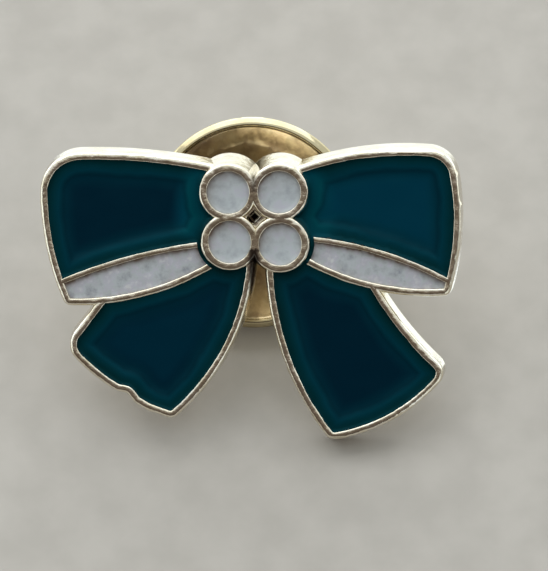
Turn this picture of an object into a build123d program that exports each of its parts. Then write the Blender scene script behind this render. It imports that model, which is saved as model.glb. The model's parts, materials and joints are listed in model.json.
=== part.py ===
from build123d import *
import os
from math import asin, atan2, cos, hypot, radians, sin, tan
from typing import NamedTuple

# Ribbon pin: a struck metal bow with enamel fills, its soldered post, and a butterfly clutch.
# It lies as it would by itself: face up, on the two ears of the clutch and the tip of the longer tail.
# Lengths are in millimetres. On the bow, across and along run from its middle, which is under the knot.

# Bow casting
face_height = 1.5  # back of the bow to the top of its rims
wall_draft = 12.0  # degrees, the outer walls spread towards the back
rim_width = 0.2
ridge_width = 0.26  # between a loop and the band below it
pocket_depth = 0.7

# Loops and tails, as far as the outer edge of their rims
left_loop_reach = 10.97
left_loop_rise = 3.2
left_loop_drop = 4.47
right_loop_reach = 10.25
right_loop_rise = 3.38
right_loop_drop = 3.88
left_tail_reach = 9.89
left_tail_length = 10.55
right_tail_reach = 10.0
right_tail_length = 11.67

# Knot of four cups, its middle a little right of the bow's and above it
knot_side = 0.05
knot_rise = 0.11
cup_pitch = 2.67
cup_height = 2.0
cup_bore_radius = 1.12
cup_wall = 0.33
cup_depth = 0.9
knot_floor = 1.6  # metal between the cups
pit_width = 0.4
pit_depth = 0.8

# Enamel
enamel_gap = 0.03  # clearance to the metal all round
loop_recess = 0.08  # how far the enamel lies below the rims
band_recess = 0.15
cup_recess = 0.2
channel_width = 0.22  # green enamel between the knot and the ends of the ridges and bands

# Post, soldered to the back, below the middle of the bow and to its left
post_side = -0.35
post_drop = 0.86
post_diameter = 1.0
post_length = 8.0
solder_height = 0.15
solder_width = 0.25
point_length = 0.9
tip_diameter = 0.3
groove_diameter = 0.66
groove_length = 0.5

# Butterfly clutch
cloth_space = 3.0  # back of the bow to the rim of the clutch
disc_diameter = 11.5
disc_dish = 0.95  # rim to the flat middle of the dish
dish_floor_diameter = 5.0
sheet = 0.35
lip_diameter = 0.5  # rolled edge of the disc
clutch_hole_diameter = 2.3
cap_diameter = 4.4
cap_flange = 0.7
cap_seam = 0.05  # gap between the cap and the disc
tip_gap = 0.1  # end of the post to the inside of the cap
ear_foot = 3.4  # where the ears bend away from the disc, from the post
ear_bend = 0.8
ear_span = 10.6
ear_width = 4.0
ear_rounding = 1.6
ear_length = 4.2


class Corner(NamedTuple):
    across: float  # share of the reach
    along: float  # share of the rise above the knot, or of the drop or length below it
    bulge: float = 0  # how far the side to the next corner swells to its right, a share of the reach
    radius: float = 0  # share of the reach


left_loop_corners = [
    Corner(across=-0.15, along=0.80, bulge=0.033),
    Corner(across=-1.00, along=1.00, bulge=0.047, radius=0.18),
    Corner(across=-0.903, along=-1.00, bulge=0.056, radius=0.02),
    Corner(across=-0.18, along=-0.52),
]
right_loop_corners = [
    Corner(across=0.171, along=-0.419, bulge=0.072),
    Corner(across=0.99, along=-1.00, bulge=0.049, radius=0.02),
    Corner(across=1.00, along=1.00, bulge=0.053, radius=0.135),
    Corner(across=0.171, along=0.696),
]
left_tail_corners = [
    Corner(across=-0.76, along=-0.35),
    Corner(across=-1.00, along=-0.645, bulge=0.015, radius=0.09),
    Corner(across=-0.738, along=-0.86, radius=0.04),
    Corner(across=-0.678, along=-0.87),
    Corner(across=-0.633, along=-0.925, radius=0.04),
    Corner(across=-0.569, along=-0.96, radius=0.05),
    Corner(across=-0.449, along=-1.00, bulge=0.097, radius=0.035),
    Corner(across=-0.019, along=-0.21),
]
right_tail_corners = [
    Corner(across=0.08, along=-0.19, bulge=0.084),
    Corner(across=0.407, along=-1.00, bulge=0.066, radius=0.035),
    Corner(across=1.00, along=-0.70, bulge=-0.03, radius=0.06),
    Corner(across=0.59, along=-0.247),
]

# The ridge of each loop runs in an arc between two points, past the rim and into the knot.
left_ridge = [Corner(across=-0.138, along=-0.277, bulge=0.038), Corner(across=-0.985, along=-0.818)]
right_ridge = [Corner(across=1.024, along=-0.889, bulge=0.056), Corner(across=0.156, along=-0.258)]


def place(corner, reach, above, below):
    """The point of a corner, in millimetres from the middle of the bow."""
    return (corner.across * reach, corner.along * (above if corner.along > 0 else below))


def outline(corners, reach, above, below):
    """The face of a loop or tail, as far as the outer edge of its rim."""
    points = [place(corner, reach, above, below) for corner in corners]
    with BuildSketch() as face:
        with BuildLine():
            for start, end, corner in zip(points, points[1:] + points[:1], corners):
                if corner.bulge:
                    SagittaArc(start, end, -corner.bulge * reach)
                else:
                    Line(start, end)
        make_face()
        for point, corner in zip(points, corners):
            if corner.radius:
                fillet(face.vertices().sort_by_distance(Vector(*point))[0], corner.radius * reach)
    return face.sketch


def inset(face, amount):
    """An outline drawn again further in, with its curved sides as plain arcs."""
    with BuildSketch() as moved:
        add(face)
        offset(amount=-amount)
    with BuildSketch() as drawn:
        with BuildLine():
            for side in moved.faces()[0].outer_wire().edges():
                if side.geom_type == GeomType.LINE:
                    Line(side @ 0, side @ 1)
                else:
                    ThreePointArc(side @ 0, side @ 0.5, side @ 1)
        make_face()
    return drawn.sketch


left_loop = outline(left_loop_corners, left_loop_reach, left_loop_rise, left_loop_drop)
right_loop = outline(right_loop_corners, right_loop_reach, right_loop_rise, right_loop_drop)
left_tail = outline(left_tail_corners, left_tail_reach, 0, left_tail_length)
right_tail = outline(right_tail_corners, right_tail_reach, 0, right_tail_length)

# The pin rests on the back edge of the longer tail's tip and on the rounded ends of the ears.
# The tilt is the one at which both reach the same depth.
draft_slope = tan(radians(wall_draft))
draft_run = face_height * draft_slope
tail_tip = -right_tail.bounding_box().min.Y + draft_run
lip_ring = (disc_diameter - lip_diameter) / 2
rim_centre = cloth_space + lip_diameter / 2
disc_back = rim_centre + disc_dish + sheet / 2
ear_root = disc_back + cap_seam
ear_end = ear_root + ear_length
ear_arc_drop = post_drop + ear_width / 2 - ear_rounding
ear_arc_depth = ear_end - ear_rounding
tip_to_ear = hypot(tail_tip - ear_arc_drop, ear_arc_depth)
tilt = atan2(ear_arc_depth, tail_tip - ear_arc_drop) + asin(ear_rounding / tip_to_ear)

# The knot stands this far over the floor, and the whole pin is centred over the origin.
left_extent = -left_loop.bounding_box().min.X
right_extent = right_loop.bounding_box().max.X
front_extent = (tail_tip - draft_run) * cos(tilt) + face_height * sin(tilt)
disc_extent = (lip_ring - post_drop) * cos(tilt) + rim_centre * sin(tilt) + lip_diameter / 2
bow_plane = Plane(
    origin=((left_extent - right_extent) / 2, (front_extent - disc_extent) / 2, tail_tip * sin(tilt)),
    x_dir=(1, 0, 0),
    z_dir=(0, -sin(tilt), cos(tilt)),
)
face_plane = bow_plane.offset(face_height)
cup_plane = bow_plane.offset(cup_height)

# Turned parts are drawn in a section through the post, with the back of the bow at 0 and cloth below it.
post_base = bow_plane.from_local_coords((post_side, -post_drop, 0))
post_section = Plane(post_base, x_dir=bow_plane.x_dir, z_dir=-bow_plane.y_dir)
post_axis = Axis(post_base, bow_plane.z_dir)

cup_top_radius = cup_bore_radius + cup_wall
cup_foot_radius = cup_top_radius + cup_height * draft_slope
cup_face_radius = cup_top_radius + (cup_height - face_height) * draft_slope
knot_middle = (knot_side, knot_rise)
cup_places = {  # shares of the pitch, from the middle of the knot
    "upper_left": (-0.515, 0.500),
    "upper_right": (0.494, 0.506),
    "lower_left": (-0.487, -0.482),
    "lower_right": (0.509, -0.525),
}
cup_centres = {
    name: (knot_side + across * cup_pitch, knot_rise + along * cup_pitch)
    for name, (across, along) in cup_places.items()
}


def drafted(face):
    """A loop or tail without its cells, from its face out to its wider back."""
    with BuildPart() as lobe:
        with BuildSketch(face_plane):
            add(face)
        extrude(amount=-face_height)
        draft(lobe.faces().filter_by(face_plane, reverse=True), face_plane, wall_draft)
    return lobe.part


def cup(centre, clearance=0.0):
    """One drafted cup of the knot without its bore, grown by a clearance."""
    with BuildPart(bow_plane) as solid:
        with Locations(centre):
            Cone(cup_foot_radius + clearance, cup_top_radius + clearance, cup_height,
                 align=(Align.CENTER, Align.CENTER, Align.MIN))
    return solid.part


def channel(side, clearance=0.0):
    """The strip round the outer side of a lower cup, where green enamel passes the end of a band."""
    centre = cup_centres["lower_right" if side > 0 else "lower_left"]
    with BuildSketch() as strip:
        with Locations(centre):
            Circle(cup_face_radius + channel_width - clearance)
        with Locations((centre[0] + side * cup_pitch / 2, centre[1])):
            Rectangle(cup_pitch, cup_pitch, mode=Mode.INTERSECT)
    return strip.sketch


def loop_cells(ribbon, clearance=0.0):
    """The two cells of a loop: green above its ridge and down its channel, and cream below."""
    start, end = [place(corner, ribbon.reach, 0, ribbon.drop) for corner in ribbon.ridge]
    with BuildSketch() as cells:
        add(inset(ribbon.loop, rim_width + clearance))
        with BuildLine():
            SagittaArc(start, end, -ribbon.ridge[0].bulge * ribbon.reach)
        trace(line_width=ridge_width + 2 * clearance, mode=Mode.SUBTRACT)
    upper, lower = cells.faces().sort_by(Axis.Y, reverse=True)
    with BuildSketch() as green:
        add(channel(ribbon.side, clearance))
        add(ribbon.loop, mode=Mode.INTERSECT)
        add(upper)
    with BuildSketch() as cream:
        add(lower)
        add(channel(ribbon.side, -clearance), mode=Mode.SUBTRACT)
    return green.sketch, cream.sketch


def tail_cell(ribbon, clearance=0.0):
    """The cell of a tail, as far as the loop that crosses its upper end."""
    with BuildSketch() as cell:
        add(inset(ribbon.tail, rim_width + clearance))
        add(inset(ribbon.loop, -clearance) if clearance else ribbon.loop, mode=Mode.SUBTRACT)
    return cell.faces().sort_by(Axis.Y)[0]


def enamel(cell, recess):
    """The fill of one cell, from just above its floor to a little below the rims."""
    with BuildPart() as fill:
        with BuildSketch(face_plane.offset(-recess)):
            add(cell)
        extrude(amount=-(pocket_depth - enamel_gap - recess))
        for centre in cup_centres.values():
            add(cup(centre, enamel_gap), mode=Mode.SUBTRACT)
    return fill.part


class Ribbon(NamedTuple):
    side: int
    loop: Sketch
    tail: Sketch
    ridge: list
    reach: float
    drop: float


ribbons = {
    "left": Ribbon(-1, left_loop, left_tail, left_ridge, left_loop_reach, left_loop_drop),
    "right": Ribbon(1, right_loop, right_tail, right_ridge, right_loop_reach, right_loop_drop),
}

os.makedirs("parts", exist_ok=True)

# Bow casting: drafted loops and tails, their pockets, then the knot over them, and the post behind
with BuildPart() as bow_casting:
    for ribbon in ribbons.values():
        add(drafted(ribbon.loop))
        add(drafted(ribbon.tail))
    for ribbon in ribbons.values():
        with BuildSketch(face_plane):
            add(loop_cells(ribbon))
            add(tail_cell(ribbon))
        extrude(amount=-pocket_depth, mode=Mode.SUBTRACT)
    for centre in cup_centres.values():
        add(cup(centre))
    with BuildSketch(bow_plane):
        with Locations(knot_middle):
            Rectangle(cup_pitch, cup_pitch)
    extrude(amount=knot_floor)
    with BuildSketch(bow_plane.offset(knot_floor)):
        with Locations(knot_middle):
            Rectangle(pit_width, pit_width, rotation=45)
    extrude(amount=-pit_depth, mode=Mode.SUBTRACT)
    with BuildSketch(cup_plane):
        with Locations(*cup_centres.values()):
            Circle(cup_bore_radius)
    extrude(amount=-cup_depth, mode=Mode.SUBTRACT)
    with BuildSketch(post_section):
        shank = post_diameter / 2
        neck = groove_diameter / 2
        groove_end = point_length - post_length
        with BuildLine():
            Polyline(
                (0, knot_floor / 2),
                (shank, knot_floor / 2),
                (shank, 0),
                (shank + solder_width, 0),
                (shank, -solder_height),
                (shank, groove_end + groove_length),
                (neck, groove_end + groove_length),
                (neck, groove_end),
                (tip_diameter / 2, -post_length),
                (0, -post_length),
                close=True,
            )
        make_face()
    revolve(axis=post_axis)
bow_casting.part.label = "bow_casting"
export_step(bow_casting.part, "parts/bow_casting.step")

# Loop, band and tail enamels: glassy fills of the cells, green apart from the cream bands
for name, ribbon in ribbons.items():
    green, cream = loop_cells(ribbon, enamel_gap)
    fills = {
        f"{name}_loop_enamel": enamel(green, loop_recess),
        f"{name}_band_enamel": enamel(cream, band_recess),
        f"{name}_tail_enamel": enamel(tail_cell(ribbon, enamel_gap), loop_recess),
    }
    for label, fill in fills.items():
        fill.label = label
        export_step(fill, f"parts/{label}.step")

# Knot enamels: a cream disc in each cup
for name, centre in cup_centres.items():
    with BuildPart() as knot_enamel:
        with BuildSketch(cup_plane.offset(-cup_recess)):
            with Locations(centre):
                Circle(cup_bore_radius - enamel_gap)
        extrude(amount=-(cup_depth - enamel_gap - cup_recess))
    knot_enamel.part.label = f"{name}_knot_enamel"
    export_step(knot_enamel.part, f"parts/{name}_knot_enamel.step")

# Clutch plate: a dished disc with a rolled edge and a hole for the post
with BuildPart() as clutch_plate:
    with BuildSketch(post_section):
        with BuildLine():
            floor = Line((clutch_hole_diameter / 2, -rim_centre - disc_dish),
                         (dish_floor_diameter / 2, -rim_centre - disc_dish))
            TangentArc(floor @ 1, (lip_ring, -rim_centre), tangent=floor % 1)
        trace(line_width=sheet)
        with Locations((lip_ring, -rim_centre)):
            Circle(lip_diameter / 2)
    revolve(axis=post_axis)
clutch_plate.part.label = "clutch_plate"
export_step(clutch_plate.part, "parts/clutch_plate.step")

# Clutch wings: a domed cap over the end of the post, with a rounded ear bent away on each side
ear_face = Plane(post_base, x_dir=bow_plane.y_dir, z_dir=bow_plane.x_dir)
flange_middle = -ear_root - sheet / 2
cap_middle = (cap_diameter - sheet) / 2
dome_end = -post_length - tip_gap - sheet / 2
with BuildPart() as clutch_wings:
    with BuildSketch(post_section):
        with BuildLine():
            FilletPolyline(
                (cap_middle, flange_middle),
                (ear_foot, flange_middle),
                ((ear_span - sheet) / 2, -ear_end),
                radius=ear_bend,
            )
            mirror(about=Plane.YZ)
        trace(line_width=sheet)
    extrude(amount=ear_width / 2, both=True)
    with BuildSketch(ear_face) as ear:
        with Locations((0, -(ear_root + ear_end) / 2)):
            Rectangle(ear_width, ear_length)
        fillet(ear.vertices().group_by(Axis.Y)[0], ear_rounding)
    extrude(amount=ear_span, both=True, mode=Mode.INTERSECT)
    with BuildSketch(post_section):
        with BuildLine():
            Line((cap_middle + cap_flange, flange_middle), (cap_middle, flange_middle))
            wall = Line((cap_middle, flange_middle), (cap_middle, dome_end + cap_middle))
            TangentArc(wall @ 1, (0, dome_end), tangent=wall % 1)
        trace(line_width=sheet)
    revolve(axis=post_axis)
clutch_wings.part.label = "clutch_wings"
export_step(clutch_wings.part, "parts/clutch_wings.step")
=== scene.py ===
import bpy
import bmesh
import json
from math import atan2, ceil, cos, exp, pi, radians, sin, sqrt, tan
from mathutils import Matrix, Vector, kdtree, noise
from mathutils.geometry import delaunay_2d_cdt, intersect_line_line_2d


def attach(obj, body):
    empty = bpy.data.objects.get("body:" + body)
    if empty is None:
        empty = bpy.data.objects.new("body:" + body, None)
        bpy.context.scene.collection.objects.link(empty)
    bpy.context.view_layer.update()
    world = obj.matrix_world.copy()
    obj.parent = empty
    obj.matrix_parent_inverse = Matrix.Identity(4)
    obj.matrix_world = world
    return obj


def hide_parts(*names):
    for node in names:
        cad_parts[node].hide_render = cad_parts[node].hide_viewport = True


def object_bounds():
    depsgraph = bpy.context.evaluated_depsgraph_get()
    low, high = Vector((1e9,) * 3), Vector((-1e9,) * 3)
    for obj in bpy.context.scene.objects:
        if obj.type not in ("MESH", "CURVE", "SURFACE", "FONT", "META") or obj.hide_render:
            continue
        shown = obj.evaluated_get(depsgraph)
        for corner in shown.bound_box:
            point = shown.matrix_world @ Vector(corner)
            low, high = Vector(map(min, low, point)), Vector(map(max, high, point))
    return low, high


# Ribbon pin: a struck and plated metal bow with enamel fills, lying face up on its butterfly clutch.
# The bow and the clutch are drawn in millimetres across, along and out from the middle of the bow's
# back, and each finished piece is put in its place in the frame, in metres.
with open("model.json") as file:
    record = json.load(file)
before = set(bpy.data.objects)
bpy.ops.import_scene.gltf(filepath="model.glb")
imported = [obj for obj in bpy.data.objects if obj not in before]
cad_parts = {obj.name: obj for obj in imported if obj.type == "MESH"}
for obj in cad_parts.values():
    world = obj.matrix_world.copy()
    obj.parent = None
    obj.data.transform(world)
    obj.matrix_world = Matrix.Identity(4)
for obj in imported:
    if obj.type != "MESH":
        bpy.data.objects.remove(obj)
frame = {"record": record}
model_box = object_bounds()
back_mount_aside = 0.006  # how far the mount on the back lies beside the bow's middle
metres_per_mm = 0.001
mounts = {mount["name"]: mount for mount in frame["record"]["mounts"]}
out = -Vector(mounts["back"]["axis"]).normalized()
across = Vector((1, 0, 0))
along = out.cross(across)
bow_middle = Vector(mounts["back"]["pos_m"]) - across * back_mount_aside
bow_turn = Matrix((across, along, out)).transposed()
bow_place = Matrix.Translation(bow_middle) @ bow_turn.to_4x4() @ Matrix.Scale(metres_per_mm, 4)


# Camera: it looks down on the bow almost square on, from a little above the knot and to its right.
# The picture is 571 pixels high, and 19 of them are one millimetre of the bow's face.
picture_height = 571
pixels_per_mm = 19.0
camera_distance = 180.0
camera_roll = -0.0055  # in radians
face_middle = Vector((0, 0, 1.5))
picture_middle = Vector((1.05, -3.55, 1.5))
eye_slope = Vector((sin(radians(3.5)), sin(radians(7.5)), 0))
eye_slope.z = sqrt(1 - eye_slope.length_squared)
eye = face_middle + camera_distance * eye_slope
sight = (eye - picture_middle).normalized()
level = Vector((0, 1, 0)).cross(sight).normalized()
camera_turn = Matrix((level, sight.cross(level), sight)).transposed() @ Matrix.Rotation(camera_roll, 3, "Z")
camera_data = bpy.data.cameras.new("camera")
camera_data.sensor_fit = "VERTICAL"
camera_data.sensor_height = 24
camera_data.lens = camera_data.sensor_height * pixels_per_mm * camera_distance / picture_height
camera_data.clip_start = 0.001


def new_object(name, data):
    """A new object in the scene."""
    obj = bpy.data.objects.new(name, data)
    bpy.context.scene.collection.objects.link(obj)
    return obj


camera = new_object("camera", camera_data)
camera.matrix_world = Matrix.Translation(bow_place @ eye) @ (bow_turn @ camera_turn).to_4x4()
bpy.context.scene.camera = camera
bpy.context.scene.view_settings.view_transform = "Standard"


# Floor and light: a plain pale table with a matt finish, under soft studio light. The light is
# strongest from above and behind, so the polished rims mirror a darker front.
def to_linear(code):
    """An sRGB hex colour as a linear one."""
    shares = [int(code[i:i + 2], 16) / 255 for i in (1, 3, 5)]
    return [s / 12.92 if s <= 0.04045 else ((s + 0.055) / 1.055) ** 2.4 for s in shares] + [1.0]


def add_node(tree, kind, settings=None, links=None):
    """A node with its settings and links. A setting is an attribute, an input or a ramp's stops, and a
    link comes from a socket or from a node's first output."""
    node = tree.nodes.new(kind)
    for key, value in (settings or {}).items():
        if key == "stops":
            stops = node.color_ramp.elements
            while len(stops) < len(value):
                stops.new(0.5)
            for stop, (place, colour) in zip(stops, value):
                stop.position = place
                stop.color = to_linear(colour)
        elif isinstance(key, str) and hasattr(node, key):
            setattr(node, key, value)
        else:
            node.inputs[key].default_value = value
    for key, source in (links or {}).items():
        if not isinstance(source, bpy.types.NodeSocket):
            source = source.outputs[0]
        tree.links.new(source, node.inputs[key])
    return node


def new_material(name):
    """A node material with its tree, and the Object coordinates in it, which are in metres."""
    material = bpy.data.materials.new(name)
    material.use_nodes = True
    tree = material.node_tree
    tree.nodes.clear()
    return material, tree, add_node(tree, "ShaderNodeTexCoord").outputs["Object"]


square_corners = ((-1, -1), (1, -1), (1, 1), (-1, 1))
floor_half = 0.6
floor_mesh = bpy.data.meshes.new("table_top")
floor_mesh.from_pydata([(x * floor_half, y * floor_half, 0) for x, y in square_corners], [], [(0, 1, 2, 3)])
table_top = new_object("table_top", floor_mesh)

# Rolled matt paint gives the eye a flat pale grey with no gloss. The clouds in it are 2.5 mm across,
# which is 400 to a metre.
matt_paint, tree, position = new_material("matt_white_paint")
paint_grain = add_node(tree, "ShaderNodeTexNoise", {"Scale": 400.0, "Detail": 3.0}, {"Vector": position})
paint_colour = add_node(
    tree, "ShaderNodeValToRGB", {"stops": [(0.35, "#aeaaa4"), (0.65, "#b5b1ab")]}, {"Fac": paint_grain})
paint = add_node(
    tree, "ShaderNodeBsdfPrincipled", {"Roughness": 0.8, "Specular IOR Level": 0.0},
    {"Base Color": paint_colour})
add_node(tree, "ShaderNodeOutputMaterial", links={"Surface": paint})
floor_mesh.materials.append(matt_paint)

studio = bpy.data.worlds.new("studio")
studio.use_nodes = True
bpy.context.scene.world = studio
tree = studio.node_tree
tree.nodes.clear()
direction = add_node(tree, "ShaderNodeTexCoord").outputs["Generated"]
towards_brightest = add_node(
    tree, "ShaderNodeVectorMath", {"operation": "DOT_PRODUCT", 1: (0.0, 0.6, 0.8)}, {0: direction})
share = add_node(
    tree, "ShaderNodeMath", {"operation": "MULTIPLY_ADD", 1: 0.5, 2: 0.5},
    {0: towards_brightest.outputs["Value"]})
sky_tones = [(0.0, "#3a332c"), (0.53, "#6a6058"), (0.60, "#948b82"), (0.66, "#e6e7e4"), (0.80, "#f8ffff"),
             (1.0, "#f8ffff")]
sky = add_node(tree, "ShaderNodeValToRGB", {"stops": sky_tones}, {"Fac": share})
background = add_node(tree, "ShaderNodeBackground", {"Strength": 1.0}, {"Color": sky})
add_node(tree, "ShaderNodeOutputWorld", links={"Surface": background})


def flat_light(name, middle, facing, size, power):
    """A flat light with its middle, the way it faces, its two sides and its power in watts."""
    light_data = bpy.data.lights.new(name, "AREA")
    light_data.shape = "RECTANGLE"
    light_data.size, light_data.size_y = size
    light_data.energy = power
    light = new_object(name, light_data)
    light.matrix_world = Matrix.Translation(middle) @ (-facing).to_track_quat("Z", "Y").to_matrix().to_4x4()
    return light


softbox_spot = Vector((-0.05, 0.26, 0.28))
flat_light("softbox", softbox_spot, -softbox_spot, (0.70, 0.50), 1.5)

# White cards low round the pin, out of the picture. Only its polished metal mirrors them.
card_white = (0.88, 0.98, 1.0)
cards = {  # the middle, what it faces, its size and its brightness
    "back_card": ((0, 0.036, 0.014), (0, -1, 0), (0.14, 0.028), 0.87),
    "left_card": ((-0.055, -0.005, 0.015), (1, 0, 0), (0.09, 0.030), 1.3),
    "right_card": ((0.055, 0.017, 0.015), (-1, 0, 0), (0.046, 0.030), 1.3),
    "right_front_card": ((0.055, -0.028, 0.015), (-1, 0, 0), (0.044, 0.030), 0.4),
    "front_card": ((0.030, -0.042, 0.015), (-0.63, 0.77, 0), (0.024, 0.028), 1.0),
    "table_card": ((0, 0.0275, 0.0003), (0, 0, 1), (0.09, 0.027), 0.85),
    "side_table_card": ((0.01015, 0.0035, 0.0003), (0, 0, 1), (0.0035, 0.012), 1.1),
}
for name, (middle, facing, size, brightness) in cards.items():
    card = flat_light(name, middle, Vector(facing), size, brightness * pi * size[0] * size[1])
    card.data.color = card_white
    card.visible_camera = False
    card.visible_diffuse = False


# Struck bow: two loops, two tails and a knot of four cups in one piece of struck brass, plated in pale
# gold. The die leaves a rim of 0.2 mm round each pocket, and the walls outside it spread to the back.
face_height = 1.5
back_spread = tan(radians(12.0))
rim_width = 0.2
shoulder = 0.21  # rounding between a rim and the wall outside it
rim_rounding = 0.09  # rounding between a rim and its pocket
pocket_floor = 0.8
point_spacing = 0.11
turn_step = 0.2  # the most that a round corner turns between two points, in radians

left_loop_corners = [  # across, along, how far the side after it swells, and its rounding
    (-1.70, 2.56, 0.362, 0.30),
    (-10.97, 3.20, 0.516, 1.975),
    (-9.906, -4.47, 0.614, 0.22),
    (-1.975, -2.324, 0, 0.30),
]
right_loop_corners = [
    (1.753, -1.626, 0.738, 0.30),
    (10.148, -3.88, 0.502, 0.205),
    (10.25, 3.38, 0.543, 1.384),
    (1.753, 2.352, 0, 0.30),
]
left_tail_corners = [
    (-7.52, -3.0, 0, 0),
    (-7.516, -3.693, 0, 0),
    (-9.89, -6.805, 0.148, 0.89),
    (-7.299, -9.073, 0, 0.396),
    (-6.705, -9.179, 0, 0.35),
    (-6.260, -9.759, 0, 0.396),
    (-5.627, -10.128, 0, 0.494),
    (-4.441, -10.55, 0.959, 0.346),
    (-0.188, -2.216, 0, 0),
    (-0.35, -1.3, 0, 0.3),
]
right_tail_corners = [
    (0.9, -1.3, 0, 0.3),
    (0.80, -2.217, 0.84, 0),
    (4.07, -11.67, 0.66, 0.35),
    (10.0, -8.169, -0.30, 0.60),
    (5.90, -2.882, 0, 0),
    (5.3, -2.2, 0, 0.3),
]


def side_points(start, end, swell):
    """Points at even steps along a side, which is straight or swells in an arc to its right."""
    start, end = Vector(start), Vector(end)
    run = end - start
    steps = max(2, ceil(run.length / point_spacing))
    if not swell:
        return [start.lerp(end, i / steps) for i in range(steps + 1)]
    right = Vector((run.y, -run.x)).normalized()
    radius = (run.length_squared / 4 + swell ** 2) / (2 * abs(swell))
    centre = (start + end) / 2 + right * (swell - radius * (1 if swell > 0 else -1))
    first = atan2(start.y - centre.y, start.x - centre.x)
    last = atan2(end.y - centre.y, end.x - centre.x)
    turn = (last - first + pi) % (2 * pi) - pi
    angles = [first + turn * i / steps for i in range(steps + 1)]
    return [centre + radius * Vector((cos(angle), sin(angle))) for angle in angles]


def run_at(points, i):
    """The direction of an open run of points at one of them."""
    return (points[min(i + 1, len(points) - 1)] - points[max(i - 1, 0)]).normalized()


def moved_aside(points, amount):
    """An open run of points moved to its left."""
    runs = [run_at(points, i) for i in range(len(points))]
    return [point + amount * Vector((-run.y, run.x)) for point, run in zip(points, runs)]


def round_corner(before, after, radius):
    """Two sides cut back to a round corner, and the points of the round between them."""
    hand = 1 if (before[-1] - before[-2]).cross(after[1] - after[0]) > 0 else -1
    inner, outer = moved_aside(before, hand * radius), moved_aside(after, hand * radius)
    for i in range(len(inner) - 2, -1, -1):
        for j in range(len(outer) - 1):
            centre = intersect_line_line_2d(inner[i], inner[i + 1], outer[j], outer[j + 1])
            if centre:
                first = (before[i + 1] - before[i]).normalized()
                second = (after[j + 1] - after[j]).normalized()
                first, second = hand * Vector((first.y, -first.x)), hand * Vector((second.y, -second.x))
                turn = -first.angle_signed(second)
                steps = max(3, ceil(abs(turn) * radius / point_spacing), ceil(abs(turn) / turn_step))
                arc = []
                for k in range(steps + 1):
                    angle = turn * k / steps
                    arc.append(centre + radius * Vector((first.x * cos(angle) - first.y * sin(angle),
                                                         first.x * sin(angle) + first.y * cos(angle))))
                return before[:i + 1], arc, after[j + 1:]
    return before, [], after[1:]


def outline(corners):
    """The outer edge of a loop's or tail's rim, counter-clockwise, at even steps."""
    count = len(corners)
    sides = [side_points(corners[i][:2], corners[(i + 1) % count][:2], corners[i][2]) for i in range(count)]
    rounds = [[] for corner in corners]
    for i, (*_, radius) in enumerate(corners):
        if radius:
            sides[i - 1], rounds[i], sides[i] = round_corner(sides[i - 1], sides[i], radius)
        else:
            sides[i - 1] = sides[i - 1][:-1]
    points = []
    for i in range(count):
        points += rounds[i] + sides[i]
    return evened(points)


def evened(points):
    """A closed run of points laid again at even steps."""
    ends = points + points[:1]
    lengths = [0.0]
    for a, b in zip(ends, ends[1:]):
        lengths.append(lengths[-1] + (b - a).length)
    count = round(lengths[-1] / point_spacing)
    even, k = [], 0
    for i in range(count):
        place = lengths[-1] * i / count
        while lengths[k + 1] < place:
            k += 1
        even.append(ends[k].lerp(ends[k + 1], (place - lengths[k]) / max(lengths[k + 1] - lengths[k], 1e-9)))
    return even


def inset(points, amount):
    """A closed outline moved inwards, with each point that would fold over drawn to its neighbour."""
    sharpest = 0.5  # a corner's point moves at most twice the amount
    slack = 0.985  # a moved point nearer to the outline than this share of the amount has folded over
    count = len(points)
    moved = []
    for i, point in enumerate(points):
        run_out = (points[(i + 1) % count] - point).normalized()
        run = ((point - points[i - 1]).normalized() + run_out).normalized()
        moved.append(point + amount / max(sharpest, run.dot(run_out)) * Vector((-run.y, run.x)))
    reach = abs(amount) * slack
    near = max(3, ceil(3 * reach / point_spacing))
    good = []
    for i, point in enumerate(moved):
        good.append(all((point - points[(i + k) % count]).length >= reach for k in range(-near, near + 1)))
    for i in range(count):
        if not good[i] and any(good):
            k = min((k for k in range(-2 * near, 2 * near + 1) if good[(i + k) % count]), key=abs, default=0)
            moved[i] = moved[(i + k) % count].copy()
    return moved


def rounding(centre, radius, first, last, steps):
    """Points of a profile round a centre, between two angles in degrees."""
    turns = [radians(first + (last - first) * k / steps) for k in range(steps + 1)]
    return [(centre[0] + radius * cos(turn), centre[1] + radius * sin(turn)) for turn in turns]


# A section through wall, rim and pocket: how far in from the rim's outer edge, and how high
wall_belly = (-0.25, 0.75)
shoulder_inwards = 0.005
rim_profile = [(-face_height * back_spread, 0.0), wall_belly]
rim_profile += rounding((shoulder_inwards, face_height - shoulder), shoulder, 175, 90, 9)
rim_profile += rounding((rim_width - rim_rounding, face_height - rim_rounding), rim_rounding, 90, 0, 4)
rim_profile += [(rim_width, face_height - 2 * rim_rounding), (rim_width, pocket_floor)]
doubles_within = 1e-4


def shell_object(shell, name):
    """A new object with the mesh of a finished shell."""
    mesh = bpy.data.meshes.new(name)
    shell.to_mesh(mesh)
    shell.free()
    return new_object(name, mesh)


def closed_shell(rings, name):
    """A closed solid from rings of points, the first and last of which are filled."""
    shell = bmesh.new()
    verts = [[shell.verts.new(point) for point in ring] for ring in rings]
    for lower, upper in zip(verts, verts[1:]):
        for i in range(len(lower)):
            j = (i + 1) % len(lower)
            shell.faces.new((lower[i], lower[j], upper[j], upper[i]))
    shell.faces.new(list(reversed(verts[0])))
    shell.faces.new(verts[-1])
    bmesh.ops.remove_doubles(shell, verts=shell.verts, dist=doubles_within)
    bmesh.ops.dissolve_degenerate(shell, edges=shell.edges, dist=doubles_within / 10)
    bmesh.ops.recalc_face_normals(shell, faces=shell.faces)
    return shell_object(shell, name)


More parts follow.
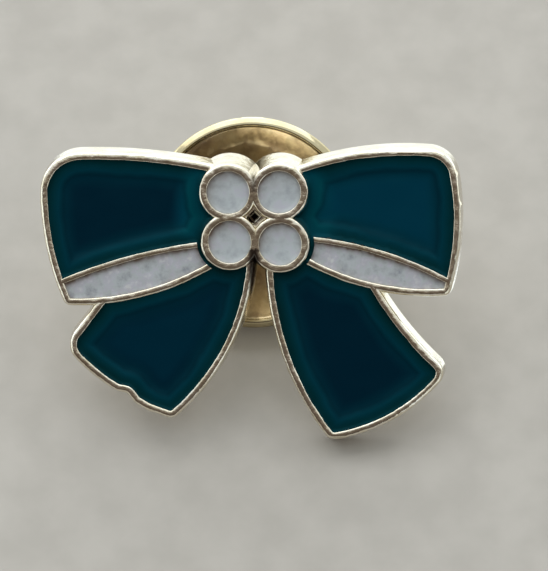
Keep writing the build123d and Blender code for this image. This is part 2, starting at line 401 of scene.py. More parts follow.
def struck_lobe(points, name, lower=0.0):
    """A loop or tail with its rim and pocket, set lower by a hair where it lies under another."""
    rings = []
    for inwards, height in rim_profile:
        ring = inset(points, inwards) if inwards else points
        rings.append([(p.x, p.y, height - lower) for p in ring])
    return closed_shell(rings, name)


def prism(points, bottom, top, name):
    """An outline drawn up from one height to another."""
    return closed_shell([[(p.x, p.y, height) for p in points] for height in (bottom, top)], name)


def circle(centre, radius, steps=96):
    """A round outline."""
    angles = [2 * pi * i / steps for i in range(steps)]
    return [Vector((centre[0] + radius * cos(angle), centre[1] + radius * sin(angle))) for angle in angles]


def plain_mesh(obj):
    """An object's mesh with its modifiers applied."""
    return bpy.data.meshes.new_from_object(obj.evaluated_get(bpy.context.evaluated_depsgraph_get()))


def combine(base, other, operation):
    """Joins a solid to the base, cuts it away or keeps what both hold, and removes it."""
    tool = base.modifiers.new("combine", "BOOLEAN")
    tool.operation, tool.solver, tool.object = operation, "MANIFOLD", other
    base.data = plain_mesh(base)
    base.modifiers.remove(tool)
    bpy.data.objects.remove(other)


loops = {"left": outline(left_loop_corners), "right": outline(right_loop_corners)}
tails = {"left": outline(left_tail_corners), "right": outline(right_tail_corners)}

knot_middle = (0.05, 0.11)
cup_pitch = 2.67
cup_height = 2.0
cup_bore_radius = 1.12
cup_wall = 0.33
cup_floor = 1.1
cup_shoulder = 0.17
cup_rounding = 0.05
knot_floor = 1.6
clear_above = 3  # a height over everything, for a cutter that goes right through, and one below
clear_below = -1
cup_centres = {
    "upper_left": (-1.325, 1.445),
    "upper_right": (1.369, 1.461),
    "lower_left": (-1.250, -1.177),
    "lower_right": (1.409, -1.292),
}
channel_width = 0.22
cup_face_radius = cup_bore_radius + cup_wall + (cup_height - face_height) * back_spread

# The ridge between a loop and its band is a bar with rounded edges, swept along an arc. The cups and
# the post are turned: a profile of radii and heights is swept round their axis.
ridge_width = 0.26
ridge_paths = {
    "left": side_points((-1.514, -1.238), (-10.805, -3.656), 0.417),
    "right": side_points((10.496, -3.449), (1.599, -1.001), 0.574),
}


def new_tree(name, **inputs):
    """A geometry tree with named inputs, and the outputs of its input node."""
    tree = bpy.data.node_groups.new(name, "GeometryNodeTree")
    tree.interface.new_socket("Geometry", in_out="INPUT", socket_type="NodeSocketGeometry")
    for label, kind in inputs.items():
        tree.interface.new_socket(label, in_out="INPUT", socket_type="NodeSocket" + kind)
    tree.interface.new_socket("Geometry", in_out="OUTPUT", socket_type="NodeSocketGeometry")
    return tree, add_node(tree, "NodeGroupInput").outputs


def end_tree(tree, form, metal):
    """Makes the form of a tree plain, gives it its metal and puts it out."""
    single = add_node(tree, "GeometryNodeRealizeInstances", links={"Geometry": form})
    finished = add_node(tree, "GeometryNodeSetMaterial", links={"Geometry": single, "Material": metal})
    add_node(tree, "NodeGroupOutput", links={"Geometry": finished})


swept_bar, given = new_tree("swept_bar", Width="Float", Height="Float", Rounding="Float", Metal="Material")
path = add_node(swept_bar, "GeometryNodeMeshToCurve", links={"Mesh": given["Geometry"]})
upright = add_node(swept_bar, "GeometryNodeSetCurveNormal", {"mode": "Z_UP"}, {"Curve": path})
bar = add_node(
    swept_bar, "GeometryNodeCurvePrimitiveQuadrilateral",
    links={"Width": given["Width"], "Height": given["Height"]})
rounded = add_node(
    swept_bar, "GeometryNodeFilletCurve", {"mode": "POLY", "Count": 3},
    {"Curve": bar, "Radius": given["Rounding"]})
swept = add_node(
    swept_bar, "GeometryNodeCurveToMesh", {"Fill Caps": True}, {"Curve": upright, "Profile Curve": rounded})
end_tree(swept_bar, swept, given["Metal"])

turned_form, given = new_tree("turned_form", Centre="Vector", Segments="Int", Metal="Material")
guide_radius = 1.0
profile_line = add_node(turned_form, "GeometryNodeMeshToCurve", links={"Mesh": given["Geometry"]})
beside_guide = add_node(
    turned_form, "GeometryNodeTransform", {"Translation": (-guide_radius, 0, 0), "Scale": (1, -1, 1)},
    {"Geometry": profile_line})
guide = add_node(
    turned_form, "GeometryNodeCurvePrimitiveCircle", {"Radius": guide_radius},
    {"Resolution": given["Segments"]})
upright = add_node(turned_form, "GeometryNodeSetCurveNormal", {"mode": "Z_UP"}, {"Curve": guide})
swept = add_node(
    turned_form, "GeometryNodeCurveToMesh", links={"Curve": upright, "Profile Curve": beside_guide})
poles = add_node(turned_form, "GeometryNodeMergeByDistance", {"Distance": 0.0002}, {"Geometry": swept})
placed = add_node(
    turned_form, "GeometryNodeTransform", links={"Geometry": poles, "Translation": given["Centre"]})
end_tree(turned_form, placed, given["Metal"])


# Thin pale gold over buffed brass gives the eye sharp bright mirrors in a soft yellow that comes and
# goes: clouds 1.1 mm across, 900 to a metre, are a shade paler and smoother. The strike leaves faint
# dents 0.3 mm across. The back is grit blasted, so it is dull: its grain is drawn 0.18 mm across,
# three times as coarse as a real one of 0.06 mm, which wouldn't show. A near black brown, dried polish
# with painted shade, fills the pit, edges it thinly and lies in the notches between the cups.
bow_plate, tree, position = new_material("polished_pale_gold_plate")
cloud = add_node(
    tree, "ShaderNodeTexNoise", {"Scale": 900.0, "Detail": 4.0, "Roughness": 0.6}, {"Vector": position})
plate_tones = [(0.3, "#cfc5ac"), (0.5, "#e0d8c6"), (0.75, "#ece8dd")]
plate_colour = add_node(tree, "ShaderNodeValToRGB", {"stops": plate_tones}, {"Fac": cloud})
polish = add_node(
    tree, "ShaderNodeMapRange", {"From Min": 0.3, "From Max": 0.7, "To Min": 0.14, "To Max": 0.08},
    {"Value": cloud})
level = add_node(tree, "ShaderNodeVectorMath", {"operation": "DOT_PRODUCT", 1: out}, {0: position})
on_back = add_node(
    tree, "ShaderNodeMath", {"operation": "COMPARE", 1: bow_middle.dot(out), 2: 0.00003},
    {0: level.outputs["Value"]})
blasted_roughness = 0.36
plate_roughness = add_node(
    tree, "ShaderNodeMix", {"data_type": "FLOAT", 3: blasted_roughness}, {0: on_back, 2: polish})
ripple = add_node(
    tree, "ShaderNodeTexNoise", {"Scale": 3200.0, "Detail": 5.0, "Roughness": 0.6}, {"Vector": position})
dent = add_node(tree, "ShaderNodeBump", {"Strength": 0.7, "Distance": 0.00003}, {"Height": ripple})
grit = add_node(tree, "ShaderNodeTexNoise", {"Scale": 5500.0, "Detail": 2.0}, {"Vector": position})
back_grit = add_node(tree, "ShaderNodeMath", {"operation": "MULTIPLY"}, {0: grit, 1: on_back})
blasted = add_node(
    tree, "ShaderNodeBump", {"Strength": 0.7, "Distance": 0.00004}, {"Height": back_grit, "Normal": dent})
plate = add_node(
    tree, "ShaderNodeBsdfPrincipled", {"Metallic": 1.0},
    {"Base Color": plate_colour, "Roughness": plate_roughness, "Normal": blasted})
polish_and_shade_shader = add_node(
    tree, "ShaderNodeBsdfPrincipled",
    {"Base Color": to_linear("#1d120d"), "Roughness": 0.9, "Specular IOR Level": 0.1})
polish_and_shade_share = add_node(tree, "ShaderNodeAttribute", {"attribute_name": "grime"}).outputs["Fac"]
plate_with_polish_and_shade = add_node(tree, "ShaderNodeMixShader", links={0: polish_and_shade_share, 1: plate, 2: polish_and_shade_shader})
add_node(tree, "ShaderNodeOutputMaterial", links={"Surface": plate_with_polish_and_shade})


def run_tree(obj, tree, inputs):
    """The plain mesh that a node tree makes from an object, with the tree's named inputs set."""
    modifier = obj.modifiers.new(tree.name, "NODES")
    modifier.node_group = tree
    for item in tree.interface.items_tree:
        if item.item_type == "SOCKET" and item.in_out == "INPUT" and item.name in inputs:
            modifier[item.identifier] = inputs[item.name]
    obj.data = plain_mesh(obj)
    obj.modifiers.clear()
    return obj


def mend(obj):
    """Merges the doubles of a mesh and turns its faces outwards."""
    shell = bmesh.new()
    shell.from_mesh(obj.data)
    bmesh.ops.remove_doubles(shell, verts=shell.verts, dist=doubles_within)
    bmesh.ops.recalc_face_normals(shell, faces=shell.faces)
    shell.to_mesh(obj.data)
    shell.free()
    return obj


def turned(name, profile, centre, segments, metal, closed=False):
    """A form turned about an upright axis, from a line of radii and heights."""
    line = bpy.data.meshes.new(name)
    edges = [(i, i + 1) for i in range(len(profile) - 1)] + [(len(profile) - 1, 0)] * closed
    line.from_pydata([(radius, height, 0) for radius, height in profile], edges, [])
    inputs = {"Centre": (float(centre[0]), float(centre[1]), 0.0), "Segments": segments, "Metal": metal}
    return mend(run_tree(new_object(name, line), turned_form, inputs))


ridge_middle = (pocket_floor + face_height) / 2 - 0.004
ridge_height = face_height - pocket_floor + 0.02
ridge_sizes = {"Width": ridge_width, "Height": ridge_height, "Rounding": 0.04, "Metal": bow_plate}
lobes = {}
for side in ("left", "right"):
    loop = struck_lobe(loops[side], side + "_loop_shell")
    path_mesh = bpy.data.meshes.new(side + "_ridge")
    path_points = [(p.x, p.y, ridge_middle) for p in ridge_paths[side]]
    path_mesh.from_pydata(path_points, [(i, i + 1) for i in range(len(path_points) - 1)], [])
    ridge = mend(run_tree(new_object(side + "_ridge", path_mesh), swept_bar, ridge_sizes))
    mid_rim = inset(loops[side], rim_width / 2)
    combine(ridge, prism(mid_rim, 0, clear_above, "within_rim"), "INTERSECT")
    combine(loop, ridge, "UNION")
    channel = circle(cup_centres["lower_" + side], cup_face_radius + channel_width)
    combine(loop, prism(channel, pocket_floor + 0.001, clear_above, "channel"), "DIFFERENCE")
    tail = struck_lobe(tails[side], side + "_tail_shell", lower=0.003)
    combine(tail, prism(mid_rim, clear_below, clear_above, "under_loop"), "DIFFERENCE")
    combine(loop, tail, "UNION")
    lobes[side] = loop
bow = lobes["left"]
bow.name = "struck_bow"
combine(bow, lobes["right"], "UNION")
half = cup_pitch / 2
knot_block = [Vector((knot_middle[0] + a * half, knot_middle[1] + b * half)) for a, b in square_corners]
combine(bow, prism(knot_block, 0, knot_floor, "knot_block"), "UNION")
for name, centre in cup_centres.items():
    bore = circle(centre, cup_bore_radius + cup_wall / 2)
    combine(bow, prism(bore, cup_floor, clear_above, "bore"), "DIFFERENCE")

# One cup of the knot, from its axis outwards, up and in again: drafted wall, rounded rim, bore, floor
cup_outer = cup_bore_radius + cup_wall
cup_belly, belly_height = 0.22, 1.0
cup_shoulder_foot = cup_outer - 0.09
cup_profile = [(0, 0), (cup_outer + cup_height * back_spread, 0.0), (cup_outer + cup_belly, belly_height)]
cup_profile += rounding((cup_shoulder_foot, cup_height - cup_shoulder), cup_shoulder, 5, 90, 8)
cup_profile += rounding((cup_bore_radius + cup_rounding, cup_height - cup_rounding), cup_rounding, 90, 180, 4)
cup_profile += [(cup_bore_radius, cup_height - 2 * cup_rounding), (cup_bore_radius, cup_floor)]
cup_profile.append((0, cup_floor))
for name, centre in cup_centres.items():
    combine(bow, turned(name + "_cup", cup_profile, centre, 96, bow_plate), "UNION")

# The small diamond pit where the four cups meet: half its diagonal at each height, with a soft edge
pit_steps = [(0.19, 0.8), (0.20, 1.44), (0.33, 1.50), (0.41, knot_floor + 0.005), (0.41, clear_above)]
diamond = ((0, -1), (1, 0), (0, 1), (-1, 0))
pit_rings = []
for reach, height in pit_steps:
    pit_rings.append([(knot_middle[0] + reach * a, knot_middle[1] + reach * b, height) for a, b in diamond])
combine(bow, closed_shell(pit_rings, "pit"), "DIFFERENCE")

# The post, soldered to the back: its fillet of solder, its shank, a groove for the clutch and a point
post_foot = (-0.35, -0.86)
post_radius = 0.5
solder_radius = 0.80
solder_fillet = 0.25
post_profile = [(0, 0.7), (solder_radius, 0.7), (solder_radius, -0.005)]
for k in range(6):
    bend = radians(90 * k / 5)
    solder_edge = post_radius + solder_fillet * (1 - sin(bend))
    post_profile.append((solder_edge, -0.01 - solder_fillet * (1 - cos(bend))))
post_profile += [(post_radius, -0.6), (post_radius, -6.52)]
post_profile += [(0.47, -6.6), (0.35, -6.66), (0.33, -6.75), (0.33, -7.02), (0.35, -7.1)]
post_profile += [(0.20, -7.82), (0.15, -7.95), (0.08, -8.0), (0, -8.0)]
combine(bow, turned("post", post_profile, post_foot, 48, bow_plate), "UNION")


def finish_piece(obj, material, body, sharp=32.0):
    """Puts a piece of the pin in its place, with its finish and smooth shading between its edges."""
    mesh = obj.data
    mesh.transform(bow_place)
    for vert in mesh.vertices:
        vert.co = [min(max(value, low), high) for value, low, high in zip(vert.co, *model_box)]
    mesh.materials.clear()
    mesh.materials.append(material)
    for polygon in mesh.polygons:
        polygon.use_smooth = True
        polygon.material_index = 0
    mesh.set_sharp_from_angle(angle=radians(sharp))
    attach(obj, body)


def smooth_step(low, high, value):
    """0 below the low value and 1 above the high one, with a soft rise between them."""
    share = min(1, max(0, (value - low) / (high - low)))
    return share * share * (3 - 2 * share)


pit_reach = 0.22
cup_seam = 0.03  # where the left cups meet the right ones
lower_notch, upper_notch = -1.55, 1.5


def polish_and_shade_at(x, y, z):
    """How much dried polish and painted shade darken a place: full in the pit, a trace on its edge, and some
    in the notches.
    """
    from_pit = abs(x - knot_middle[0]) + abs(y - knot_middle[1])
    from_seam = abs(x - cup_seam)
    if pit_reach <= from_pit < 2 * pit_reach and 1.4 < z < 1.65:
        return 0.25
    if y < lower_notch and z > 0.3:
        return 0.95 * (1 - smooth_step(0.18, 0.38, from_seam))
    if y > upper_notch and z > face_height:
        return 0.6 * (1 - smooth_step(0.05, 0.2, from_seam))
    return 1.0 if from_pit < pit_reach and 0.7 < z < 1.46 else 0.0


# The plating is never quite even. It has low swells all over, a nick in one wall and burrs on another.
swells = [  # how many to a millimetre, how high, and where the pattern starts
    (0.9, 0.018, (0, 0, 0)),
    (2.9, 0.010, (7, 3, 1)),
    (5.0, 0.012, (2, 8, 4)),
]
blemishes = [  # the middle, how far it stands out, and its reach
    ((-7.93, 3.66, 1.40), -0.16, 0.13),
    ((10.86, 0.75, 1.20), 0.13, 0.15),
    ((10.62, 2.35, 1.25), 0.09, 0.14),
]
back_within = 0.004  # points this near to the back lie on it
shell = bmesh.new()
shell.from_mesh(bow.data)
# Each point's share of the near black fill: dried polish with painted shade, in the pit and the notches
# between the cups.
grime = shell.verts.layers.float.new("grime")
bmesh.ops.remove_doubles(shell, verts=shell.verts, dist=5 * doubles_within)
bmesh.ops.dissolve_degenerate(shell, edges=shell.edges, dist=2 * doubles_within)
shell.normal_update()
for vert in shell.verts:
    vert[grime] = polish_and_shade_at(*vert.co)
    if abs(vert.co.z) < back_within:
        vert.co.z = 0
    if vert.co.z > 0.05:
        lift = 0.0
        for to_a_mm, height, start in swells:
            lift += noise.noise(vert.co * to_a_mm + Vector(start)) * height
        for spot, height, reach in blemishes:
            lift += height * exp(-((vert.co - Vector(spot)).length / reach) ** 2)
        vert.co += vert.normal * lift
shell.to_mesh(bow.data)
shell.free()
finish_piece(bow, bow_plate, "bow")
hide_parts("bow_casting")


# Enamel: powdered glass fused into the pockets and polished, dark green in the loops and tails and
# mottled cream in the bands and cups. It wets the rims, so its surface dips between them.
def inside(point, edge):
    """Whether a point lies inside a closed outline."""
    hit = False
    for a, b in zip(edge, edge[1:] + edge[:1]):
        if (a.y > point.y) != (b.y > point.y) and point.x < a.x + (b.x - a.x) * (point.y - a.y) / (b.y - a.y):
            hit = not hit
    return hit


tail_top = -2.6
knot_ring = 3.3  # how far from the knot's middle the painted sheen near it is strongest


def green_sheen_at(point, distance):
    """How much painted sheen lightens the green glass: in the middle of the right loop and left tail, and
    near the knot.
    """
    right_loop = smooth_step(1.5, 4.0, point.x) * smooth_step(-3.5, tail_top, point.y - 0.1 * point.x)
    right_loop *= smooth_step(0.6, 1.5, distance)
    left_tail = smooth_step(1.0, 1.8, distance) * (point.x < 0 and point.y < tail_top)
    near_knot = 1 - smooth_step(0.3, 1.3, abs((point - Vector(knot_middle)).length - knot_ring))
    return min(1.4, 0.9 * right_loop + 0.3 * left_tail + 1.1 * near_knot * smooth_step(-1.6, -0.6, point.y))


def distance_from(points):
    """What gives the distance of a place from the nearest of the points."""
    tree = kdtree.KDTree(len(points))
    for i, p in enumerate(points):
        tree.insert((p.x, p.y, 0), i)
    tree.balance()
    return lambda place: tree.find((place.x, place.y, 0))[2]


row_share = 0.866  # the rows of a triangular grid lie closer than its points
clear_share = 0.45  # a grid point nearer to a border than this share of the spacing is left out


def fused_fill(name, borders, region, bottom, height_at, tone_at, spacing=0.14):
    """A fill bounded by lines. Its height and tone go by the place and its distance from the edge."""
    points, edges = [], []
    for line, closed in borders:
        first = len(points)
        points += [Vector(p[:2]) for p in line]
        edges += [(i, i + 1) for i in range(first, len(points) - 1)]
        if closed:
            edges.append((len(points) - 1, first))
    xs, ys = [p.x for p in points], [p.y for p in points]
    low = Vector((min(xs), min(ys)))
    rows = int((max(ys) - low.y) / spacing / row_share) + 2
    columns = int((max(xs) - low.x) / spacing) + 2
    from_border = distance_from(points)
    for row in range(rows):
        for column in range(columns):
            p = low + Vector(((column + 0.5 * (row % 2)) * spacing, row * spacing * row_share))
            if from_border(p) > clear_share * spacing and region(p):
                points.append(p)
    verts, _, faces, _, _, _ = delaunay_2d_cdt(points, edges, [], 0, 1e-5)
    kept = [face for face in faces if region(sum((verts[i] for i in face), Vector((0, 0))) / len(face))]
    counts = {}
    for face in kept:
        for a, b in zip(face, face[1:] + face[:1]):
            pair = (min(a, b), max(a, b))
            counts[pair] = counts.get(pair, 0) + 1
    rim_verts = sorted({i for pair, n in counts.items() if n == 1 for i in pair})
    from_rim = distance_from([verts[i] for i in rim_verts])
    shell = bmesh.new()
    distance_layer = shell.verts.layers.float.new("rim_distance")
    tone_layer = shell.verts.layers.float.new("tone")
    top = {}
    for i in sorted({i for face in kept for i in face}):
        distance = from_rim(verts[i])
        top[i] = shell.verts.new((verts[i].x, verts[i].y, height_at(verts[i], distance)))
        top[i][distance_layer] = distance
        top[i][tone_layer] = tone_at(verts[i], distance)
    for face in kept:
        shell.faces.new([top[i] for i in face])
    bmesh.ops.recalc_face_normals(shell, faces=shell.faces)
    if sum(face.normal.z for face in shell.faces) < 0:
        bmesh.ops.reverse_faces(shell, faces=shell.faces)
    rim_edges = [edge for edge in shell.edges if len(edge.link_faces) == 1]
    skirt = bmesh.ops.extrude_edge_only(shell, edges=rim_edges)["geom"]
    for vert in [part for part in skirt if isinstance(part, bmesh.types.BMVert)]:
        vert.co.z = bottom
    low_edges = [edge for edge in shell.edges if len(edge.link_faces) == 1]
    bmesh.ops.contextual_create(shell, geom=low_edges)
    bmesh.ops.recalc_face_normals(shell, faces=shell.faces)
    return shell_object(shell, name)


# Lead glass stained dark green, fired and stoned flat, gives the eye a deep tinted gloss: nearly black, and
# petrol where a painted sheen lightens it. Painted rings follow the rim up to 1.5 mm inside it: a painted
# shadow at the rim, and painted reflections of the wetted edge further in.
# Each ring wanders in and out by a third of a millimetre on clouds 3 mm across, 330 to a metre.
green_glass, tree, position = new_material("dark_green_vitreous_enamel")
rim_distance = add_node(tree, "ShaderNodeAttribute", {"attribute_name": "rim_distance"}).outputs["Fac"]
green_sheen = add_node(tree, "ShaderNodeAttribute", {"attribute_name": "tone"}).outputs["Fac"]
streak = add_node(tree, "ShaderNodeTexNoise", {"Scale": 330.0, "Detail": 3.0}, {"Vector": position})
wander = add_node(tree, "ShaderNodeMath", {"operation": "MULTIPLY_ADD", 1: 0.7, 2: -0.35}, {0: streak})
depth = add_node(tree, "ShaderNodeMath", {"operation": "ADD"}, {0: rim_distance, 1: wander})
ring_span = 2.0
depth_share = add_node(tree, "ShaderNodeMath", {"operation": "DIVIDE", 1: ring_span}, {0: depth})
plain_green_tones = [(0.0, "#001d1e"), (0.17, "#002c34"), (0.32, "#003341"), (0.44, "#002432"), (0.52, "#002736"),
               (0.75, "#001e2f")]
sheen_green_tones = [(0.0, "#002830"), (0.16, "#003b48"), (0.32, "#00434e"), (0.42, "#003240"), (0.52, "#003b4c"),
              (0.75, "#00374b")]
plain_green = add_node(tree, "ShaderNodeValToRGB", {"stops": plain_green_tones}, {"Fac": depth_share})
sheen_green = add_node(tree, "ShaderNodeValToRGB", {"stops": sheen_green_tones}, {"Fac": depth_share})
green_colour = add_node(
    tree, "ShaderNodeMix", {"data_type": "RGBA"}, {0: green_sheen, 6: plain_green, 7: sheen_green})
green = add_node(
    tree, "ShaderNodeBsdfPrincipled",
    {"Roughness": 0.10, "IOR": 1.52, "Specular IOR Level": 0.35, "Specular Tint": (0.15, 0.75, 1.0, 1.0)},
    {"Base Color": green_colour.outputs[2]})
add_node(tree, "ShaderNodeOutputMaterial", links={"Surface": green})

# Cream glass, opaque and less well polished, gives the eye a cool off-white mottled like stone, in
# flecks 0.8 mm across, 1300 to a metre. The grey-brown at its edges is dirt with painted shadow, the
# painted shadow most under the ridges and rims above it: it breaks up at half a millimetre, 2200 to a
# metre. The cups are less mottled than the bands.
cream_tones = [(-0.17, "#a3abb8"), (-0.07, "#bcc5cd"), (0.0, "#cad4da"), (0.08, "#cdd0de"), (0.18, "#e2e7ec")]
cream_glass = {}
for place, spread in (("band", 1.0), ("cup", 1.9)):
    cream_glass[place], tree, position = new_material("cream_vitreous_enamel_of_" + place)
    mottle = add_node(
        tree, "ShaderNodeTexNoise", {"Scale": 1300.0, "Detail": 5.0, "Roughness": 0.62},
        {"Vector": position})
    spread_tones = [(0.5 + spread * away, tone) for away, tone in cream_tones]
    cream_colour = add_node(tree, "ShaderNodeValToRGB", {"stops": spread_tones}, {"Fac": mottle})
    dirt_and_shadow = add_node(tree, "ShaderNodeAttribute", {"attribute_name": "tone"}).outputs["Fac"]
    speckle = add_node(tree, "ShaderNodeTexNoise", {"Scale": 2200.0, "Detail": 3.0}, {"Vector": position})
    dirt_and_shadow_break = add_node(
        tree, "ShaderNodeMath", {"operation": "MULTIPLY_ADD", 1: 1.6, 2: 0.2}, {0: speckle})
    dirt_and_shadow_share = add_node(
        tree, "ShaderNodeMath", {"operation": "MULTIPLY", "use_clamp": True}, {0: dirt_and_shadow, 1: dirt_and_shadow_break})
    dirtied_and_shaded = add_node(
        tree, "ShaderNodeMix", {"data_type": "RGBA", 7: to_linear("#75665c")},
        {0: dirt_and_shadow_share, 6: cream_colour})
    cream = add_node(
        tree, "ShaderNodeBsdfPrincipled", {"Roughness": 0.16, "IOR": 1.52},
        {"Base Color": dirtied_and_shaded.outputs[2]})
    add_node(tree, "ShaderNodeOutputMaterial", links={"Surface": cream})

overlap = 0.035  # how far a fill reaches into the metal round it
fill_gap = 0.03  # the room under a fill
green_level = 1.42
band_level = 1.35
cup_level = 1.8
wetting = 0.05  # how far the glass climbs at its edge, and how near to it the climb starts
green_wetting_reach, cream_wetting_reach = 0.12, 0.10
cup_radius_at_green = cup_outer + (cup_height - green_level) * back_spread - 0.02
channel_reach = cup_face_radius + channel_width
half_ridge = ridge_width / 2
glass_sharp, brass_sharp = 50, 40  # the angles, in degrees, from which an edge looks sharp


def green_height(point, distance):
    """The green dips in the middle, and swells a little over 1.25 mm."""
    swell = 0.012 * noise.noise(Vector((point.x, point.y, 5)) * 0.8)
    edge = wetting * exp(-distance / green_wetting_reach)
    return green_level - 0.005 + edge - 0.05 * smooth_step(0.45, 1.1, distance) + swell


def cream_height(level):
    """The cream lies flat at its level, and swells a little over 0.8 mm."""
    def height(point, distance):
        edge = wetting * exp(-distance / cream_wetting_reach)
        return level - 0.01 + edge + 0.008 * noise.noise(Vector((point.x, point.y, 9)) * 1.3)
    return height


def clear_of_cups(p):
    """Whether a point lies outside all four cups."""
    return all((p - Vector(centre)).length > cup_radius_at_green for centre in cup_centres.values())


cup_lines = [(circle(centre, cup_radius_at_green), True) for centre in cup_centres.values()]
for side in ("left", "right"):
    hand = -1 if side == "left" else 1
    loop_edge = loops[side]
    loop_pocket = inset(loop_edge, rim_width - overlap)
    tail_pocket = inset(tails[side], rim_width - overlap)
    ridge = ridge_paths[side]
    upper_line = moved_aside(ridge, hand * (half_ridge - overlap))
    lower_line = moved_aside(ridge, -hand * (half_ridge - overlap))
    near_cup = Vector(cup_centres["lower_" + side])
    channel_edge = circle(near_cup, channel_reach)

    def above_ridge(p):
        """How far a point lies above the middle of the ridge."""
        best = min(range(len(ridge) - 1), key=lambda i: ((ridge[i] + ridge[i + 1]) / 2 - p).length)
        run = (ridge[best + 1] - ridge[best]).normalized()
        if run.x > 0:
            run = -run
        return (p - ridge[best]).dot(Vector((run.y, -run.x)))

    def band_dirt_and_shadow(point, distance):
        """Dirt lies along the edges of a band, with painted shadow, and most painted shadow under the ridge
        above it.
        """
        below_ridge = max(0, -above_ridge(point) - half_ridge)
        return 0.16 + 0.45 * exp(-distance / 0.15) + 0.55 * exp(-(below_ridge / 0.2) ** 2)

    def in_loop(p):
        if not clear_of_cups(p) or not inside(p, loop_edge):
            return False
        if (p - near_cup).length < channel_reach:
            return hand * p.x > 0.3
        return inside(p, loop_pocket) and above_ridge(p) > half_ridge - overlap

    def in_band(p):
        clear_of_channel = (p - near_cup).length > channel_reach
        return inside(p, loop_pocket) and above_ridge(p) < -(half_ridge - overlap) and clear_of_channel

    def in_tail(p):
        return inside(p, tail_pocket) and not inside(p, loop_edge) and clear_of_cups(p)

    band_lines = [(loop_pocket, True), (lower_line, False), (channel_edge, True)]
    loop_lines = [(loop_pocket, True), (upper_line, False), (channel_edge, True), (loop_edge, True)]
    tail_lines = [(tail_pocket, True), (loop_edge, True)]
    green_kind = (green_height, green_sheen_at, green_glass, "green_enamel")
    cream_kind = (cream_height(band_level), band_dirt_and_shadow, cream_glass["band"], "cream_enamel")
    fills = {
        "_loop": (loop_lines + cup_lines, in_loop, green_kind),
        "_band": (band_lines, in_band, cream_kind),
        "_tail": (tail_lines + cup_lines, in_tail, green_kind),
    }
    for place, (lines, region, (height_at, tone_at, glass, slot)) in fills.items():
        name = side + place
        fill = fused_fill(name + "_glass", lines, region, pocket_floor + fill_gap, height_at, tone_at)
        finish_piece(fill, glass, "bow", glass_sharp)
        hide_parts(name + "_enamel")

for name, centre in cup_centres.items():
    reach = cup_bore_radius + overlap

    def in_cup(p):
        return (p - Vector(centre)).length < reach

    def cup_dirt_and_shadow(point, distance):
        """Dirt and painted shade lie along the whole edge of a cup, with a painted shadow of the rim most at
        its upper left.
        """
        upper_left = (point - Vector(centre)).dot(Vector((-0.5, 0.85))) / reach
        all_round = 0.11 + 0.14 * upper_left + 0.45 * exp(-distance / 0.13)
        return all_round + 0.6 * max(0, upper_left) * exp(-distance / 0.35)

    fill = fused_fill(
        name + "_cup_glass", [(circle(centre, reach), True)], in_cup, cup_floor + fill_gap,
        cream_height(cup_level), cup_dirt_and_shadow, spacing=0.12)
    finish_piece(fill, cream_glass["cup"], "bow", glass_sharp)
    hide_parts(name + "_knot_enamel")


# Clutch plate: a dished disc of thin brass with a rolled lip and a hole for the post, pressed and
# polished. It slides on the post with the wings, and lies against their flange.

# Polished brass gives the eye a greenish yellow mirror, even on the lip. In the dish a rosier bloom of
# tarnish, with painted reflections in it as pale and dark patches, comes in clouds 1.9 mm across, 520
# to a metre, the paler ones smoother. Low waves 1.4 mm across, 700 to a metre, bend what it mirrors.
clutch_brass, tree, position = new_material("polished_brass")
cloud = add_node(
    tree, "ShaderNodeTexNoise", {"Scale": 520.0, "Detail": 4.0, "Roughness": 0.6}, {"Vector": position})
bright_tones = [(0.3, "#b3a582"), (0.5, "#c0b493"), (0.75, "#cdc6ad")]
dish_patch_tones = [(0.36, "#a8937a"), (0.47, "#d6c2a2"), (0.55, "#e6d5b4"), (0.63, "#f5ead0")]
bright = add_node(tree, "ShaderNodeValToRGB", {"stops": bright_tones}, {"Fac": cloud})
dish_patches = add_node(tree, "ShaderNodeValToRGB", {"stops": dish_patch_tones}, {"Fac": cloud})
tarnish = add_node(tree, "ShaderNodeAttribute", {"attribute_name": "tarnish"}).outputs["Fac"]
brass_colour = add_node(tree, "ShaderNodeMix", {"data_type": "RGBA"}, {0: tarnish, 6: bright, 7: dish_patches})
brass_roughness = add_node(
    tree, "ShaderNodeMapRange", {"From Min": 0.3, "From Max": 0.7, "To Min": 0.15, "To Max": 0.08},
    {"Value": cloud})
wave = add_node(tree, "ShaderNodeTexNoise", {"Scale": 700.0, "Detail": 2.0}, {"Vector": position})
uneven = add_node(tree, "ShaderNodeBump", {"Strength": 0.5, "Distance": 0.00006}, {"Height": wave})
brass = add_node(
    tree, "ShaderNodeBsdfPrincipled", {"Metallic": 1.0},
    {"Base Color": brass_colour.outputs[2], "Roughness": brass_roughness, "Normal": uneven})
add_node(tree, "ShaderNodeOutputMaterial", links={"Surface": brass})

sheet = 0.35
half_sheet = sheet / 2
lip_ring = 5.5
lip_start = lip_ring - 0.155
rim_depth = 3.25
dish = 0.95
dish_floor_radius = 2.5
hole_radius = 1.15
dish_run = lip_ring - dish_floor_radius
dish_radius = (dish_run ** 2 + dish ** 2) / (2 * dish)
dish_bend = atan2(dish_run, dish_radius - dish)
floor_steps, dish_steps = 6, 30
# The middle of the sheet from hole to lip: radius, height and slope
middle_line = [(hole_radius + (dish_floor_radius - hole_radius) * i / floor_steps, -rim_depth - dish, 0.0)
               for i in range(floor_steps)]
for i in range(dish_steps + 1):
    bend = dish_bend * i / dish_steps
    radius = dish_floor_radius + dish_radius * sin(bend)
    if radius < lip_start:
        middle_line.append((radius, -rim_depth - dish + dish_radius * (1 - cos(bend)), bend))
front = [(r - half_sheet * sin(b), z + half_sheet * cos(b)) for r, z, b in middle_line]
back = [(r + half_sheet * sin(b), z - half_sheet * cos(b)) for r, z, b in middle_line]
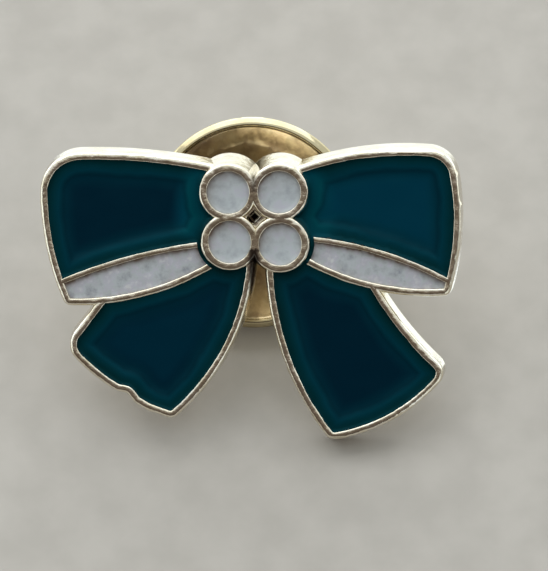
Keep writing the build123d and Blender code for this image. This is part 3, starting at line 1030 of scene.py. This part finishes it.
# The lip rises in a soft bend, slopes outwards, and is rolled under to the back of the sheet
lip = [(5.265, -3.15), (5.30, -3.09), (5.36, -3.055), (5.43, -3.065), (5.52, -3.115), (5.62, -3.195)]
lip += [(5.70, -3.275), (5.745, -3.35), (5.745, -3.42), (5.70, -3.48), (5.62, -3.50), (5.53, -3.49)]
clutch_disc = turned("clutch_disc", front + lip + back[::-1], post_foot, 144, clutch_brass, closed=True)
# Inside 5.1 mm the dish takes the tarnish with its painted reflections; past 5.3 mm the lip is plain brass.
patched_to, bright_from = 5.1, 5.3
tarnish = clutch_disc.data.attributes.new("tarnish", "FLOAT", "POINT")
for vert, value in zip(clutch_disc.data.vertices, tarnish.data):
    value.value = 1 - smooth_step(patched_to, bright_from, (vert.co.xy - Vector(post_foot)).length)
finish_piece(clutch_disc, clutch_brass, "clutch", brass_sharp)
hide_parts("clutch_plate")


# Clutch wings: a domed cap over the end of the post, pressed from brass sheet with an ear bent at each
# side to pinch it by. The cap's flange lies against the disc, and the pin rests on the ears' ends.
cap_foot = 4.425
cap_radius = 2.2
flange_radius = 2.725
cap_end = 8.45
wall_bend = 0.3
mouth_bend = 0.15
edge_rounding = 0.06
ear_foot = 3.4
ear_tip = (5.095, -8.556)
ear_bend = 0.8
ear_width = 4.0
ear_rounding = 1.6
ear_end = 8.625
flange_back = -cap_foot - sheet
dome_middle = cap_radius - cap_end
mouth_radius = cap_radius - sheet
cap_profile = [(flange_radius - edge_rounding, -cap_foot), (flange_radius, -cap_foot - edge_rounding),
               (flange_radius, flange_back + edge_rounding), (flange_radius - edge_rounding, flange_back)]
cap_profile += rounding((cap_radius + wall_bend, flange_back - wall_bend), wall_bend, 90, 180, 6)
cap_profile += rounding((0, dome_middle), cap_radius, 0, -88, 16) + [(0, -cap_end)]
cap_profile += [(0, sheet - cap_end)] + rounding((0, dome_middle), mouth_radius, -88, 0, 16)
cap_profile += [(mouth_radius, -cap_foot - mouth_bend), (mouth_radius + 0.05, -cap_foot - 0.04),
                (mouth_radius + mouth_bend, -cap_foot)]
pressed_wings = turned("pressed_wings", cap_profile, post_foot, 96, clutch_brass, closed=True)
ear_level = flange_back + half_sheet
flat_run = side_points((cap_radius - half_sheet, ear_level), (ear_foot, ear_level), 0)
sloping_run = side_points((ear_foot, ear_level), ear_tip, 0)
flat_run, bend_run, sloping_run = round_corner(flat_run, sloping_run, ear_bend)
ear_line = flat_run + bend_run + sloping_run
for hand in (-1, 1):
    rings = []
    for i, point in enumerate(ear_line):
        run = run_at(ear_line, i)
        past_round = max(0, ear_rounding - ear_end - point.y)
        half_width = ear_width / 2 - ear_rounding + sqrt(ear_rounding ** 2 - past_round ** 2)
        ring = []
        for corner, turn in (((1, 1), 0), ((-1, 1), 90), ((-1, -1), 180), ((1, -1), 270)):
            middle = (corner[0] * (half_width - edge_rounding), corner[1] * (half_sheet - edge_rounding))
            for aside, lift in rounding(middle, edge_rounding, turn, turn + 90, 3):
                outwards, height = point.x - lift * run.y, point.y + lift * run.x
                ring.append((post_foot[0] + hand * outwards, post_foot[1] + aside, height))
        rings.append(ring)
    combine(pressed_wings, closed_shell(rings, "ear"), "UNION")
finish_piece(pressed_wings, clutch_brass, "clutch", brass_sharp)
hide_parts("clutch_wings")
